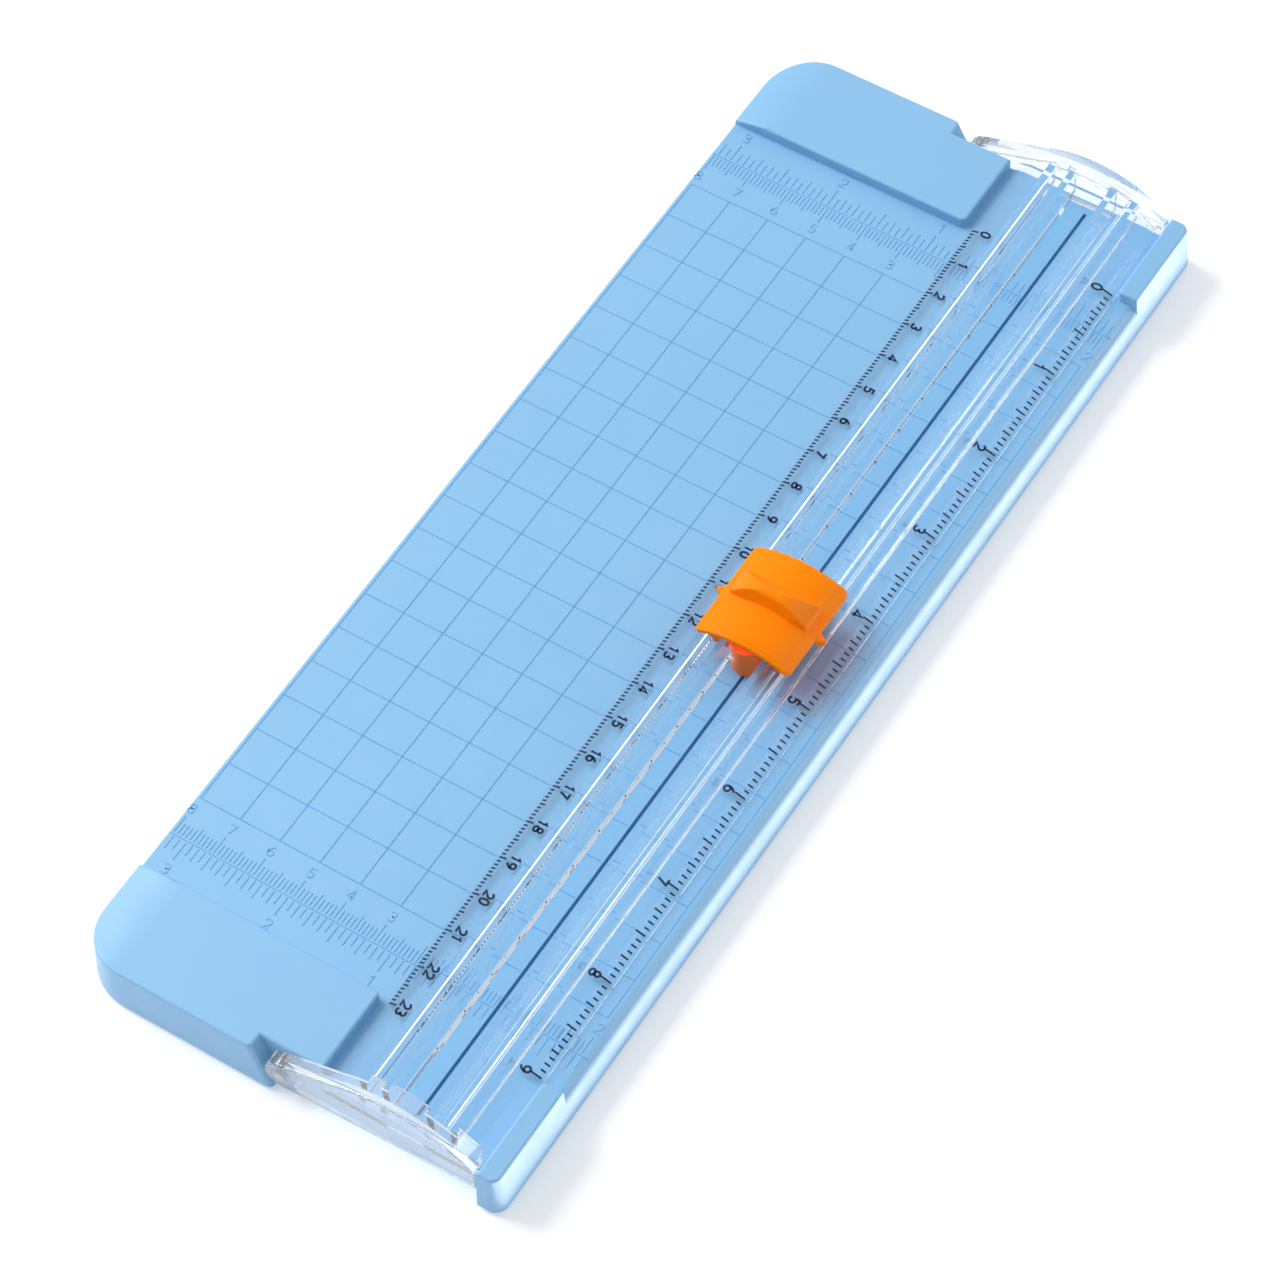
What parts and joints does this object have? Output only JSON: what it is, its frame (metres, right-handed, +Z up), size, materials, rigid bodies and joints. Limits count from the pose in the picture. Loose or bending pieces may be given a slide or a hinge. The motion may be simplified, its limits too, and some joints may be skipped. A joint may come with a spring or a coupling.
{
  "type": "rotary paper trimmer",
  "caption": "Small sliding paper trimmer: ruled bed, hinged clear rail with printed scales, and a press-down carriage that rolls a round blade along a groove.",
  "frame": {"origin": "centre of the base's footprint, on the surface that the feet stand on", "axes": "+X across the base towards the narrow off-cut side, +Y along the cut away from the user, +Z up"},
  "size_m": [0.105, 0.28, 0.0265],
  "materials": {
    "base": "satin moulded",
    "clear": "clear polished",
    "carriage": "satin moulded",
    "holder": "natural moulded",
    "blade": "ground",
    "steel": "plated",
    "brass": "turned",
    "rubber": "matte"
  },
  "bodies": {
    "base": {"base_shell": "base", "foot_near_left": "rubber", "foot_near_right": "rubber", "foot_far_left": "rubber", "foot_far_right": "rubber"},
    "rail": {"clear_rail": "clear", "near_hood": "clear", "far_hood": "clear", "near_hinge_pin": "steel", "far_hinge_pin": "steel"},
    "carriage": {"carriage_frame": "carriage"},
    "press": {"thumb_cap": "carriage", "holder_left": "holder", "holder_right": "holder", "holder_screws": "steel", "blade_axle": "steel", "blade_washer_left": "steel", "blade_washer_right": "steel", "near_return_spring": "steel", "far_return_spring": "steel"},
    "blade": {"rotary_blade": "blade", "blade_bush": "brass"}
  },
  "joints": [
    {"name": "rail_hinge", "type": "hinge", "parent": "base", "child": "rail", "pos_m": [-0.0006, 0, 0.0066], "axis": [0, -1, 0], "range_deg": [0, 45]},
    {"name": "carriage_slide", "type": "slide", "parent": "rail", "child": "carriage", "axis": [0, 1, 0], "range_m": [-0.12, 0.12]},
    {"name": "cap_press", "type": "slide", "parent": "carriage", "child": "press", "axis": [0, 0, -1], "range_m": [0, 0.0008], "stiffness_N_per_m": 1500, "springref_m": -0.0015, "deforming": ["near_return_spring", "far_return_spring"]},
    {"name": "blade_spin", "type": "hinge", "parent": "press", "child": "blade", "pos_m": [0.029, 0, 0.015], "axis": [1, 0, 0], "continuous": true}
  ]
}
